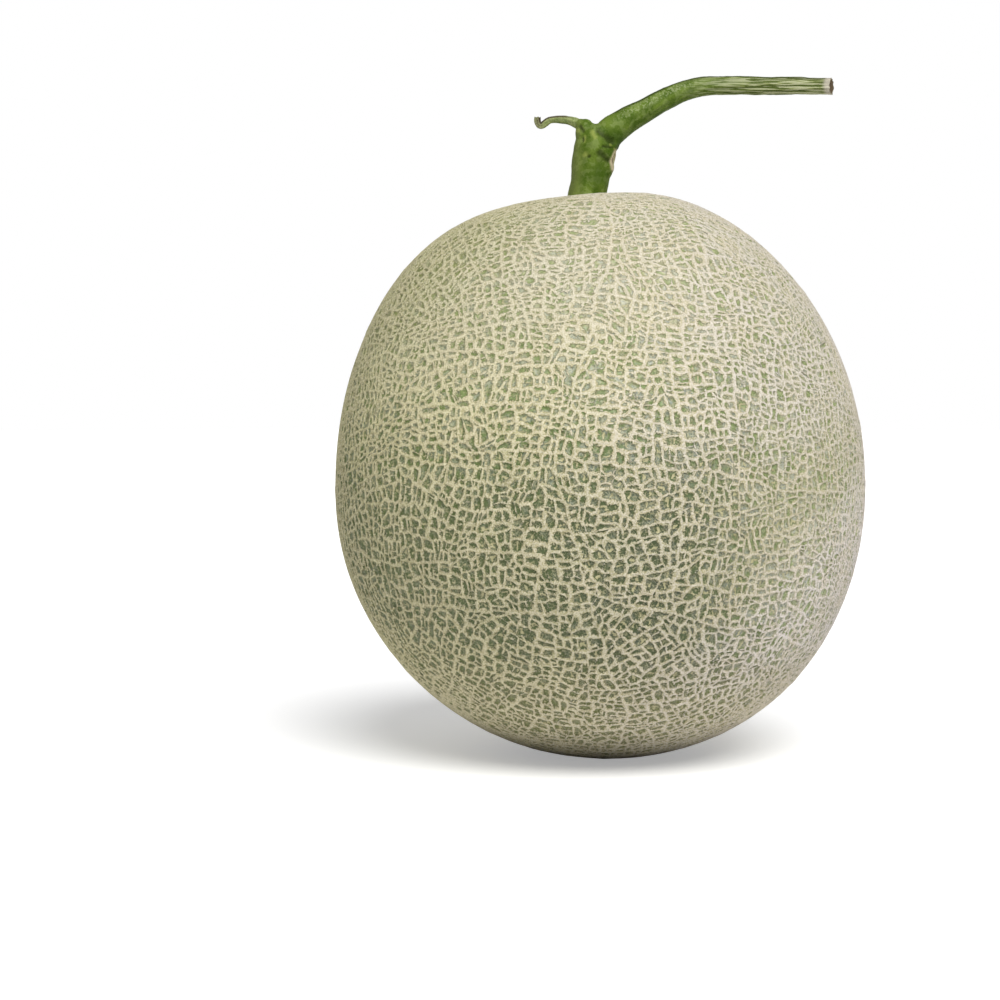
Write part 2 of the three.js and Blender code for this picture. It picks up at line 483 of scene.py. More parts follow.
SEAT = Vector((-3.0, 0, 158.6)) * MM  # where the stalk stands, in a ring of cork
SEAT_CORK, SEAT_FADE = 7.2 * MM, 10.4 * MM
BLOSSOM_SCAR = Vector((2.6, 0, 0)) * MM
SCAR_CORK, SCAR_FADE = 5 * MM, 7 * MM
SCAR_RISE = 0.7  # of both, times a ridge's rise
DIPS, DIP_SIZE = 0.5 * MM, 45 * MM  # how deep and how wide the fruit's soft dips are


def ring_inside(places, normal, widths):
    """Corners of a ring inside a cell, with each side moved in by its own width."""
    middle = sum(places, Vector()) / len(places)
    ahead = places[1:] + places[:1]
    inward = [normal.cross(there - here).normalized() for here, there in zip(places, ahead)]
    ring = []
    for i, place in enumerate(places):
        spread = max(1 + inward[i - 1].dot(inward[i]), BLUNTEST)
        move = (widths[i - 1] * inward[i - 1] + widths[i] * inward[i]) / spread
        most = MOST_INWARD * (middle - place).length
        ring.append(place + move * min(1, most / max(move.length, SAME_PLACE)))
    return ring


def flat_area(places, normal):
    """The area in a ring of corners, seen along the normal: below 0 if the ring is twisted."""
    turns = zip(places, places[1:] + places[:1])
    return sum((here.cross(there) for here, there in turns), Vector()).dot(normal) / 2


def narrowest_side(places, ring, normal):
    """The width, seen along the normal, of the narrowest side between a cell's outline and the
    ring inside it: below 0 if that side is folded over."""
    corners = zip(places, places[1:] + places[:1], ring[1:] + ring[:1], ring)
    return min(
        (low_there - here).cross(low_here - there).dot(normal) / 2 / (there - here).length
        for here, there, low_there, low_here in corners
    )


def eased_out(places, ring, normal):
    """The ring, moved out towards the cell's outline until no side between them is folded over
    or too steep. Returns None if there is no such ring."""
    for share in EASINGS:
        eased = [low.lerp(place, share) for low, place in zip(ring, places)]
        if narrowest_side(places, eased, normal) > LEAST_SIDE:
            return eased
    return None


def in_sight(places, middle, normal):
    """Whether straight lines from the middle reach all corners of a ring without leaving it."""
    pairs = zip(places, places[1:] + places[:1])
    return all((here - middle).cross(there - middle).dot(normal) > 0 for here, there in pairs)


def rounded(places, share):
    """A closed ring whose corners are pulled in towards their neighbours."""
    behind, ahead = places[-1:] + places[:-1], places[1:] + places[:1]
    return [here.lerp((a + b) / 2, share) for a, here, b in zip(behind, places, ahead)]


def lay_ring(bm, cells, rings):
    """Insets all cells and sets each one's corners to its ring. Returns the faces between."""
    sides = bmesh.ops.inset_individual(bm, faces=cells, thickness=SAME_PLACE / 10)["faces"]
    for cell, ring in zip(cells, rings):
        for vert, place in zip(cell.verts, ring):
            vert.co = place
    return sides


def ridge_width(place):
    """Half the width of a usual ridge at this place: wider at the crown than lower down."""
    crown = smoothstep(*WIDER, height_share(place))
    patch = sum(amount * noise.noise(place / size) for amount, size in WIDTH_PATCHES)
    return RIDGE_HALF * (BELLY_WIDTH + CROWN_WIDER * crown + patch)


def scar_share(place):
    """1 on the cork round the stalk and on the blossom scar, and 0 away from them."""
    seat = smoothstep(SEAT_FADE, SEAT_CORK, (place - SEAT).length)
    blossom = smoothstep(SCAR_FADE, SCAR_CORK, (place - BLOSSOM_SCAR).length)
    return max(seat, blossom)


def lay_threads(fans, rng, thread, branch):
    """Gives a floor, made up of these faces, one thin ridge across, and a large one a branch."""
    area = sum(fan.calc_area() for fan in fans)
    if area < LEAST_THREADED * rng.uniform(*THREAD_SPREAD):
        return
    ring = [loop.vert.co for fan in fans for loop in fan.loops]
    middle, normal = sum(ring, Vector()) / len(ring), fans[0].normal
    level = UP.cross(normal).normalized()
    level.rotate(Matrix.Rotation(rng.gauss(0, THREAD_TURN), 3, normal))
    ways = [level, normal.cross(level)]
    ways.sort(key=lambda way: max(co.dot(way) for co in ring) - min(co.dot(way) for co in ring))
    short, long = ways
    across = middle.dot(long) + rng.gauss(0, THREAD_ASIDE) * math.sqrt(area)
    along = middle.dot(short) + rng.gauss(0, THREAD_ASIDE) * math.sqrt(area)
    side = rng.choice((-1, 1))
    branched = area > LEAST_BRANCHED * rng.uniform(*THREAD_SPREAD)
    for fan in fans:
        for loop in fan.loops:
            loop[thread] = 1 + side * (loop.vert.co.dot(long) - across) / THREAD_SCALE
            if branched:
                loop[branch] = 1 + (loop.vert.co.dot(short) - along) / THREAD_SCALE


def floor_ring(cell, wide, rng):
    """Where the corners of a cell's floor go, and whether it is only a pit."""
    places = [vert.co.copy() for vert in cell.verts]
    widths = [ridge_width(loop.vert.co) * loop.edge[wide] for loop in cell.loops]
    ring = ring_inside(places, cell.normal, widths)
    middle = sum(ring, Vector()) / len(ring)
    ring = [place.lerp(middle, CORNER_BITE * rng.random() ** 2) for place in ring]
    ring = rounded(ring, rng.uniform(0, CORNER_ROUNDING))
    ring = eased_out(places, ring, cell.normal)
    if ring and flat_area(ring, cell.normal) >= LEAST_FLOOR:
        return ring, False
    middle = sum(places, Vector()) / len(places)
    ring = [place.lerp(middle, PIT_INSET) for place in places]
    return eased_out(places, ring, cell.normal) or ring, True


def sink_floors(bm, rng):
    """Insets a floor into each cell, which leaves the ridges between them.

    Each corner gets how much cork it has, its floor's own tone, and its rise over the floor's
    edge. A side gets how faint its ridge is, and a floor how far it lies from its threads."""
    edges, verts, loops = bm.edges.layers.float, bm.verts.layers.float, bm.loops.layers.float
    wide, high, weak = (edges[name] for name in ("wide", "high", "weak"))
    cork, tone, rise = (verts.new(name) for name in ("cork", "tone", "rise"))
    faint, thread, branch = (loops.new(name) for name in ("faint", "thread", "branch"))
    cells, crests = bm.faces[:], set(bm.verts)
    for vert in crests:
        vert[rise] = max(edge[high] for edge in vert.link_edges)
        vert[cork] = 1

    floors = [floor_ring(cell, wide, rng) for cell in cells]
    for side in lay_ring(bm, cells, [ring for ring, _ in floors]):
        ridge = next(edge for edge in side.edges if crests.issuperset(edge.verts))
        for loop in side.loops:
            loop[faint] = ridge[weak]
    hollow = []
    for cell, (_, is_pit) in zip(cells, floors):
        shade = rng.random()
        low, bare = (PIT_RISE, PIT_CORK) if is_pit else (0, FOOT_CORK)
        for vert in cell.verts:
            vert[rise], vert[cork], vert[tone] = low, bare, shade
        cell.normal_update()
        if is_pit:
            continue
        corners, middle = [vert.co for vert in cell.verts], cell.calc_center_median_weighted()
        if cell.calc_area() > LEAST_HOLLOW and in_sight(corners, middle, cell.normal):
            hollow.append(cell)
        else:
            lay_threads([cell], rng, thread, branch)
    for vert in bmesh.ops.poke(bm, faces=hollow)["verts"]:
        vert[rise], vert[cork] = -BOWL, 0
        vert[tone] = vert.link_edges[0].other_vert(vert)[tone]
        lay_threads(vert.link_faces[:], rng, thread, branch)


def net_mesh(rng):
    """The whole skin: the net is cracked, and its corners are set to their heights."""
    bm = first_cells(rng)
    crack_all(bm, rng)
    loosen(bm, rng)
    sink_floors(bm, rng)
    cork, rise = bm.verts.layers.float["cork"], bm.verts.layers.float["rise"]
    for vert in bm.verts:
        point, normal = on_fruit(vert.co)
        scar = scar_share(point)
        vert[cork] += (1 - vert[cork]) * scar
        vert[rise] += (SCAR_RISE - vert[rise]) * scar
        dip = DIPS * (0.5 + 0.5 * noise.noise(point / DIP_SIZE))
        vert.co = point + normal * (vert[rise] * RIDGE_RISE - FLOOR_DEPTH - dip)
        vert.co.z = max(vert.co.z, 0)
    bm.normal_update()
    return bm


CHART_FILL = 0.94  # of a chart's square, so that a gap stays round it


def lay_bake_map(bm):
    """A map of the skin in six even charts, one for each side of a cube round the fruit."""
    layer = bm.loops.layers.uv.new("OFBake")
    for face in bm.faces:
        away = face.calc_center_median() - FRUIT_MIDDLE
        side = max(range(3), key=lambda i: abs(away[i]))
        sign = math.copysign(1, away[side])
        column, row = side, 0 if sign > 0 else 1
        for loop in face.loops:
            spot = loop.vert.co - FRUIT_MIDDLE
            across = math.atan(sign * spot[(side + 1) % 3] / abs(spot[side])) * 4 / math.pi
            up = math.atan(spot[(side + 2) % 3] / abs(spot[side])) * 4 / math.pi
            u = column + 0.5 + 0.5 * CHART_FILL * across
            v = row + 0.5 + 0.5 * CHART_FILL * up
            loop[layer].uv = (u / 3, v / 2)


# ---- rind: the finish ----

THREAD_HALF, THREAD_SOFT = 0.22, 0.2  # half a thread's width, and its soft edge, in mm
THREAD_WAVER = 0.5  # mm

# Where the rind's colours change: each region's mask is 0 at the first value and 1 at the other.
CROWN, BOTTOM, CONTACT_SHADE = (80 * MM, 142 * MM), (42 * MM, 14 * MM), (16 * MM, 3 * MM)  # in height
LEFT, RIGHT, RIM = (30 * MM, -70 * MM), (-40 * MM, 65 * MM), (0, 65 * MM)  # in x
LOW_RIGHT, RIGHT_SLOPE = (-16 * MM, 12 * MM), -0.9  # in x plus this much of the height
# Towards the upper left the skin is yellower, and the cork is darkened as painted shade.
YELLOW_AND_SHADE = (152 * MM, 188 * MM)  # in height less x
# A band round the lower belly: its cork is darkened as painted shade, and its ridges are a little
# thinner.
SHADE_BELT, SHADE_BELT_HEIGHT = (44 * MM, 12 * MM), 62 * MM  # in distance above or below this height
SHADY, SHADY_SIDE, SHADY_FOOT = (108 * MM, 68 * MM), (56 * MM, 14 * MM), (8 * MM, 40 * MM)

COVERED = (0.56, 0.82)  # between none and all of the surface is cork
YELLOW_CORK, GREY_CORK = srgb(219, 211, 145), srgb(208, 201, 194)
# Painted highlights laid along the cork's crests: a cooler one and, on the left, a warmer one.
WARM_HIGHLIGHT, COOL_HIGHLIGHT = srgb(222, 216, 170), srgb(220, 211, 202)
CORK_TINTS = (
    # painted shade on the lower belly
    ("shade_belt", 0.9, (167, 162, 126)),
    ("low_right", 1.0, (216, 211, 204)),
    # lighter towards the foot: painted light bounced up from the floor
    ("bottom", 0.8, (236, 221, 190)),
    # darker towards the upper left: painted shade
    ("yellow_and_shade", 0.9, (170, 170, 108)),
    ("blush", 0.5, (206, 190, 152)),
    ("lumps", 0.35, (180, 172, 140)),
    ("pale_grain", 0.4, (224, 219, 200)),
    ("dark_grain", 0.4, (164, 158, 120)),
    # the ridges' sides darkened: painted shade
    ("flank_shade", 0.7, (178, 172, 128)),
    ("creases", 0.55, (150, 143, 102)),
)
# A floor is darker at its rim than in its middle: painted shade under the ridges.
SHADED_RIM_GREENS = srgb(66, 82, 40), srgb(94, 108, 76)  # of the darkest and the lightest floors
MIDDLE_GREENS = srgb(88, 112, 62), srgb(138, 150, 136)
SHADED_RIM_WAX, MIDDLE_WAX = srgb(189, 184, 150), srgb(190, 188, 169)
SKIN_TINTS = (
    ("clouds", 0.3, (112, 128, 66)),
    ("grey_hue", 0.5, (150, 155, 156)),
    ("green_hue", 0.5, (106, 136, 58)),
    ("shady", 0.85, (46, 56, 32)),
    ("left", 0.4, (124, 140, 78)),
    ("yellow_and_shade", 0.75, (118, 122, 64)),
    ("specks", 0.5, (68, 76, 34)),
    ("hairs", 1.0, (196, 193, 160)),
)
# The last colour here darkens the fruit just above the floor: painted shade where it meets the
# floor.
BOTTOM_SKIN, THREAD_CORK, CONTACT_SHADE_COLOUR = srgb(126, 124, 66), srgb(150, 148, 104), srgb(84, 80, 62)
SILVER = (1.16, 1.15, 1.26, 1)  # times the colours of the fruit's lower right


def thread_mask(tree, place):
    """The thin ridges that cross the cells' floors, as soft wavering lines."""
    waver = patches(tree, place, 0.9 * MM, 2)
    aside = maths(tree, "MULTIPLY_ADD", waver, THREAD_WAVER, -THREAD_WAVER / 2)
    whole = ramp(tree, patches(tree, place, 1.9 * MM), 0.15, 0.35)
    masks = []
    thread, branch = attribute(tree, "thread"), attribute(tree, "branch")
    for line in (thread, branch):
        away = maths(tree, "MULTIPLY_ADD", line, THREAD_SCALE / MM, -THREAD_SCALE / MM)
        away = maths(tree, "ABSOLUTE", maths(tree, "ADD", away, aside))
        masks.append(ramp(tree, away, THREAD_HALF + THREAD_SOFT, THREAD_HALF))
    one_side = maths(tree, "GREATER_THAN", thread, 1.0)
    lines = maths(tree, "MAXIMUM", masks[0], times(tree, masks[1], one_side))
    return times(tree, lines, whole)


def hairlines(tree, place, size):
    """Fine cracks between grains of this size, broken off here and there."""
    inputs = {"Vector": place, "Scale": 1 / size}
    gap = node(tree, "TexVoronoi", inputs, feature="DISTANCE_TO_EDGE").outputs["Distance"]
    return times(tree, ramp(tree, gap, 0.14, 0.03), patches(tree, place, 3 * size))


def region_masks(tree, place):
    """Masks of the fruit's regions, by name."""
    spot = node(tree, "SeparateXYZ", {"Vector": place}).outputs
    x, z = spot["X"], spot["Z"]
    crown, left = ramp(tree, z, *CROWN), ramp(tree, x, *LEFT)
    bottom = ramp(tree, z, *BOTTOM)
    low_right = ramp(tree, maths(tree, "MULTIPLY_ADD", z, RIGHT_SLOPE, x), *LOW_RIGHT)
    from_belt = maths(tree, "ABSOLUTE", maths(tree, "SUBTRACT", z, SHADE_BELT_HEIGHT))
    above_foot = ramp(tree, z, *SHADY_FOOT, 0.45, 1.0)
    right = maths(tree, "MULTIPLY_ADD", patches(tree, place, 60 * MM), 0.3, ramp(tree, x, *RIGHT))
    return {
        "crown": crown,
        "left": left,
        "bottom": bottom,
        "low_right": low_right,
        "silvery": times(tree, low_right, less(tree, bottom, 1.0)),
        "yellow_and_shade": ramp(tree, maths(tree, "SUBTRACT", z, x), *YELLOW_AND_SHADE),
        "shade_belt": times(tree, ramp(tree, from_belt, *SHADE_BELT), less(tree, left, 0.25)),
        "shady": times(tree, ramp(tree, z, *SHADY), ramp(tree, x, *SHADY_SIDE), above_foot),
        "cool": maths(tree, "MAXIMUM", ramp(tree, right, 0.2, 1.0), times(tree, crown, 0.75)),
        "wax": maths(tree, "MAXIMUM", crown, times(tree, ramp(tree, x, *RIM), 0.78)),
        "contact_shade": ramp(tree, z, *CONTACT_SHADE),
    }


def texture_masks(tree, place, regions):
    """Masks of the cork, of the marks on cork and skin, and of the painted highlight and shade on
    the ridges, by name.
    """
    cork = attribute(tree, "cork")
    grain, lumps = patches(tree, place, 0.4 * MM, 3), patches(tree, place, 1.1 * MM)
    ragged = maths(tree, "MULTIPLY_ADD", grain, 0.32, maths(tree, "SUBTRACT", cork, 0.04))
    swollen = maths(tree, "MULTIPLY_ADD", lumps, 0.34, ragged)
    gaps = maths(tree, "MULTIPLY_ADD", patches(tree, place, 1.7 * MM), 0.9, 0.1)
    broken = times(tree, attribute(tree, "faint"), gaps)
    thinned = maths(tree, "MULTIPLY_ADD", regions["shade_belt"], 0.08, broken)
    crest = ramp(tree, maths(tree, "MULTIPLY_ADD", grain, 0.3, cork), 0.82, 1.12)
    calm = less(tree, regions["crown"], 0.55)
    hue = patches(tree, place, 3 * MM)
    specks = ramp(tree, patches(tree, place, 0.7 * MM, 1), 0.55, 0.72)
    highlight_share = maths(tree, "MULTIPLY_ADD", regions["shade_belt"], -0.3, 0.65)
    plain_skin = maths(tree, "MULTIPLY_ADD", regions["shady"], -0.3, 0.55)
    return {
        "tone": attribute(tree, "tone"),
        "grain": grain,
        "lumps": lumps,
        "covered": ramp(tree, maths(tree, "SUBTRACT", swollen, thinned), *COVERED),
        "flank_shade": ramp(tree, swollen, 1.2, 0.5),
        "middle": ramp(tree, cork, 0.19, 0.04),
        "crest_highlight": times(tree, crest, highlight_share, less(tree, regions["crown"], 0.35)),
        "blush": patches(tree, place, 7 * MM),
        "pale_grain": ramp(tree, grain, 0.45, 0.75),
        "dark_grain": ramp(tree, grain, 0.5, 0.2),
        "creases": times(tree, hairlines(tree, place, 1.3 * MM), calm),
        "clouds": patches(tree, place, 26 * MM),
        "grey_hue": ramp(tree, hue, 0.5, 0.8),
        "green_hue": ramp(tree, hue, 0.5, 0.2),
        "specks": times(tree, specks, calm),
        "hairs": times(tree, hairlines(tree, place, 1.0 * MM), plain_skin),
        "threads": thread_mask(tree, place),
        "flakes": ramp(tree, patches(tree, place, 0.55 * MM, 2), 0.72, 0.9),
        "pits": ramp(tree, patches(tree, place, 0.6 * MM, 2, (1, 1, 0.8)), 0.2, 0.05),
    }


def rind_material():
    """Cream cork over a grey-green skin."""
    material, tree, shader, place = new_material("netted_rind", 0.7)
    mask = region_masks(tree, place)
    mask.update(texture_masks(tree, place, mask))

    cream = blend(tree, mask["cool"], YELLOW_CORK, GREY_CORK)
    cream = tinted(tree, cream, mask, CORK_TINTS)
    # a painted highlight along the crests, warmer on the left
    crest = blend(tree, mask["left"], COOL_HIGHLIGHT, WARM_HIGHLIGHT)
    cream = blend(tree, mask["crest_highlight"], cream, crest)
    cream = blend(tree, mask["silvery"], cream, SILVER, "MULTIPLY")

    # the floor's rim, darker as painted shade
    edge = blend(tree, mask["tone"], *SHADED_RIM_GREENS)
    edge = blend(tree, times(tree, mask["wax"], 0.93), edge, SHADED_RIM_WAX)
    middle = blend(tree, mask["tone"], *MIDDLE_GREENS)
    middle = blend(tree, mask["wax"], middle, MIDDLE_WAX)
    skin = blend(tree, mask["middle"], edge, middle)
    skin = tinted(tree, skin, mask, SKIN_TINTS)
    skin = blend(tree, mask["silvery"], skin, SILVER, "MULTIPLY")
    # lighter and yellower towards the foot, partly painted light bounced up from the floor
    skin = blend(tree, times(tree, mask["bottom"], 0.45), skin, BOTTOM_SKIN)
    skin = blend(tree, mask["threads"], skin, blend(tree, 0.2, cream, THREAD_CORK))
    skin = blend(tree, times(tree, mask["flakes"], 0.45), skin, cream)
    cream = blend(tree, times(tree, mask["pits"], 0.25), cream, edge)

    colour = blend(tree, mask["covered"], skin, cream)
    # painted shade, darkening the fruit just above the floor
    colour = blend(tree, times(tree, mask["contact_shade"], 0.6), colour, CONTACT_SHADE_COLOUR)
    tree.links.new(ramp(tree, mask["covered"], 0, 1, 0.5, 0.86), shader.inputs["Roughness"])
    crumbs = maths(tree, "MULTIPLY_ADD", mask["grain"], 0.4, 0.8)
    relief = maths(tree, "MAXIMUM", times(tree, crumbs, mask["covered"]), mask["threads"])
    finish(tree, shader, colour, relief, 1.0, 0.28 * MM)
    return material


def make_rind():
    bm = net_mesh(random.Random(11))
    lay_bake_map(bm)
    rind = new_object("rind", bm, [rind_material()])
    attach(rind, "root")
    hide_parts("fruit")


# ---- stem: shared shapes ----


def smooth_line(points, steps):
    """Points of (x, z, radius) in mm as a smooth line of many of them, in metres."""
    knots = [Vector(point) * MM for point in points]
    knots = [2 * knots[0] - knots[1], *knots, 2 * knots[-1] - knots[-2]]
    line = []
    for before, here, there, after in zip(knots, knots[1:], knots[2:], knots[3:]):
        leave, reach = here + (there - before) / 6, there - (after - here) / 6
        line += interpolate_bezier(here, leave, reach, there, steps + 1)[:-1]
    return line + [knots[-2]]


def station_frames(line):
    """For each point of a line, the matrix that puts a unit circle round the line there."""
    frames = []
    for i, (x, z, radius) in enumerate(line):
        behind, ahead = line[max(i - 1, 0)], line[min(i + 1, len(line) - 1)]
        along = Vector((ahead.x - behind.x, 0, ahead.y - behind.y)).normalized()
        turn = Matrix((ACROSS.cross(along), ACROSS, along)).transposed().to_4x4()
        frames.append(Matrix.Translation((x, 0, z)) @ turn @ Matrix.Scale(radius, 4))
    return frames


def sweep(bm, frames, sides):
    """A closed round rod through these frames."""
    start = bmesh.ops.create_circle(
        bm, cap_ends=True, segments=sides, radius=1, matrix=frames[0]
    )
    end = start["verts"][0].link_faces[0]
    for here, there in zip(frames, frames[1:]):
        grown = bmesh.ops.extrude_face_region(bm, geom=[end, *end.edges])["geom"]
        end = next(part for part in grown if isinstance(part, bmesh.types.BMFace))
        bmesh.ops.transform(bm, matrix=there @ here.inverted(), verts=end.verts)


def lump(bm, middle, radii):
    """A closed egg shape, in mm."""
    place = Matrix.Translation(Vector(middle) * MM)
    size = Matrix.Diagonal((*(Vector(radii) * MM), 1))
    bmesh.ops.create_uvsphere(bm, u_segments=24, v_segments=16, radius=1, matrix=place @ size)


class Around:
    """Tells how far along a line and how far round it a place is."""

    def __init__(self, frames):
        self.inverses = [frame.inverted() for frame in frames]
        self.tree = KDTree(len(frames))
        for i, frame in enumerate(frames):
            self.tree.insert(frame.translation, i)
        self.tree.balance()

    def of(self, place):
        _, i, _ = self.tree.find(place)
        local = self.inverses[i] @ place
        share = i / (len(self.inverses) - 1)
        return share, math.atan2(local.y, local.x)


# ---- stem ----

STALK = (
    (-3.6, 158.2, 6.1), (-3.6, 160.0, 5.5), (-3.0, 163.0, 5.4), (-2.6, 166, 5.6),
    (-2.3, 169, 5.75), (-1.6, 172, 6.1), (-1.4, 175, 5.8), (-1.7, 177.6, 4.8),
    (-1.9, 179.2, 3.2), (-1.9, 179.9, 1.2),
)
ARM = (
    (-1.0, 172.6, 3.6), (2.0, 176.5, 4.4), (6.1, 179.9, 3.95), (10.0, 182.2, 3.6),
    (14.3, 184.45, 3.35), (19.0, 186.95, 3.12), (23.7, 188.95, 2.95), (28.5, 190.15, 2.8),
    (35, 190.5, 2.72), (45, 190.45, 2.68), (55, 190.3, 2.55), (67.5, 190.1, 2.45),
)
STEM_SIDES, STEM_STEPS = 28, 6  # round the rods, and from point to point
SWELLINGS = (  # of the node: the middle and the radii of each
    ((-4.1, 0, 177.0), (2.9, 4.0, 4.4)),
    ((-5.6, -0.6, 179.5), (1.55, 2.0, 1.9)),
    ((1.3, -1.0, 169.0), (2.8, 2.8, 5.4)),
    ((2.5, 0, 174.0), (3.1, 4.2, 2.6)),
)
STEM_VOXEL = 0.3 * MM
CUT_END = Vector((65.3, 0, 190)) * MM
CUT_FACING = Vector((1, -0.34, 0)).normalized()  # a little towards the front
CUT_RIM, CUT_HOLLOW = 0.4 * MM, 0.5 * MM
WHITENED = (2.2 * MM, 0.9 * MM)  # how far from the cut the skin starts to be white, and is


def stem_skin():
    """The stalk, the node and the arm as one closed skin."""
    bm = bmesh.new()
    for points in (STALK, ARM):
        sweep(bm, station_frames(smooth_line(points, STEM_STEPS)), STEM_SIDES)
    for middle, radii in SWELLINGS:
        lump(bm, middle, radii)
    bmesh.ops.recalc_face_normals(bm, faces=bm.faces)
    skin = fused(bm, STEM_VOXEL)
    relax(skin, skin.verts, 0.5, 6)
    return skin


def cut_off(bm):
    """Cuts the arm's end off, square but for a small turn. Returns the cut face."""
    geometry = bm.verts[:] + bm.edges[:] + bm.faces[:]
    made = bmesh.ops.bisect_plane(
        bm, geom=geometry, plane_co=CUT_END, plane_no=CUT_FACING, clear_outer=True
    )
    rim = [part for part in made["geom_cut"] if isinstance(part, bmesh.types.BMEdge)]
    return bmesh.ops.contextual_create(bm, geom=rim)["faces"][0]


# Marks on the stalk and the node, as (x, z, x, z, half width) in mm. Each is a short line
# between two places. Behind, they lie a little higher.
# Folds are dented, and darkened as painted shade in their creases; a few are the node's own dark
# marks.
FOLDS = (
    (-0.6, 177.4, 3.4, 174.4, 0.7), (-0.2, 171.2, 2.3, 169.2, 0.75),
    (0.8, 173.0, 3.1, 172.9, 0.3), (-4.9, 175.4, -4.8, 174.6, 0.3),
    (-3.2, 170.1, -3.1, 170.2, 0.4), (-5.7, 178.8, -4.9, 177.6, 0.5),
)
# Pale marks: some are the node's own pale specks, and some are painted highlights.
PALE_MARKS_AND_HIGHLIGHTS = (
    (-4.3, 175.9, -4.3, 174.4, 0.3), (-4.3, 170.6, -4.0, 171.0, 0.55),
    (3.0, 173.6, 3.1, 173.5, 0.28), (4.0, 172.6, 4.1, 172.4, 0.28),
    (-2.2, 177.2, -1.4, 175.6, 0.5), (-6.6, 178.1, -6.3, 177.6, 0.45),
)
BEHIND_RISE = 2.1  # mm
MARK_SOFT, MARK_CLEAR = 1.9, 0.1  # a mark fades out between these shares of its half width
MARK_RAGGED, MARK_RAG_SIZE = 0.5, 0.6 * MM
SHADES = (  # the darkest green: the middle and the reach of each in mm, and how dark it is
    ((3.9, -3, 174.6), 5.2, 1), ((0.4, -6, 164.8), 5.5, 0.7),
)
LEAF_SCAR = Vector((4.1, -1.6, 169.3)) * MM
SCAR_FACING = Vector((0.93, -0.37, 0)).normalized()
SCAR_HIGH, SCAR_WIDE = 2.5 * MM, 1.6 * MM
SCAR_BACK, NO_SCAR = -1.6 * MM, 9  # a place further behind its face is far outside it

# Shares of the arm's length between which it leaves the stalk, dries, and is marked
ON_ARM, DRYING, FOLDS_END = (0.08, 0.3), (0.46, 0.9), (0.3, 0.4)
SHADED_TOP_START, UNDERSIDE_END = (0.14, 0.2), (0.75, 0.4)
HOAR_START, HOAR_END = (0.12, 0.28), (0.75, 0.5)
# How high round the arm those marks lie: 1 along its top, and -1 along its underside
SHADED_TOP, STRIP_LOW, STRIP_HIGH, UNDERSIDE = (0.74, 0.92), (-0.1, 0.3), (0.95, 0.7), (0.1, 0.8)
BLOOM = (-4 * MM, -7 * MM)  # between which places in x the stalk's dull bloom starts

RIBS, RIB_TWIST, RIB_SWAY = 9, 2.2, 0.25
STALK_RIBS, STALK_RIB_DEPTH = 8, 0.6  # the depth is a share of the arm's
# How far the skin moves in or out, in mm
RIB_DEPTH, DRY_DEEPER = 0.07, 0.25
BUMP, FINE_BUMP = (0.22, 5 * MM), (0.06, 1.1 * MM)  # each with its size
FOLD_DEPTH, SCAR_DEPTH, SCAR_RIM = 0.4, 0.5, 0.2
STEM_ATTRIBUTES = (
    "groove", "dry", "dark", "shaded", "pale", "bloom", "hoar", "scar", "slit", "whitened", "cut",
)


def mark_share(place, marks):
    """1 on the nearest of these marks, and 0 away from them."""
    x, z = place.x / MM, place.z / MM
    if place.y > 0:
        z -= BEHIND_RISE
    share = 0
    for x0, z0, x1, z1, half in marks:
        run_x, run_z = x1 - x0, z1 - z0
        along = ((x - x0) * run_x + (z - z0) * run_z) / (run_x**2 + run_z**2)
        along = min(max(along, 0), 1)
        away = math.hypot(x - x0 - along * run_x, z - z0 - along * run_z)
        away += MARK_RAGGED * half * noise.noise(place / MARK_RAG_SIZE)
        share = max(share, smoothstep(MARK_SOFT * half, MARK_CLEAR * half, away))
    return share


def scar_radius(place):
    """How far out of the leaf scar a place is: 0 at its middle and 1 on its rim."""
    away = place - LEAF_SCAR
    if away.dot(SCAR_FACING) < SCAR_BACK:
        return NO_SCAR
    across = away.dot(UP.cross(SCAR_FACING))
    return math.hypot(away.z / SCAR_HIGH, across / SCAR_WIDE)


def rib_height(place, share, angle, stalk_angle):
    """1 on a rib and -1 between two, and less than that on the stalk."""
    sway = angle + RIB_SWAY * math.sin(2 * angle + 1) + RIB_TWIST * share
    rib = math.cos(RIBS * sway + 1.6 * noise.noise(place / (14 * MM)))
    stalk_rib = math.cos(STALK_RIBS * stalk_angle + 2 * noise.noise(place / (12 * MM)))
    on_arm = smoothstep(*ON_ARM, share)
    return on_arm * rib + (1 - on_arm) * STALK_RIB_DEPTH * stalk_rib


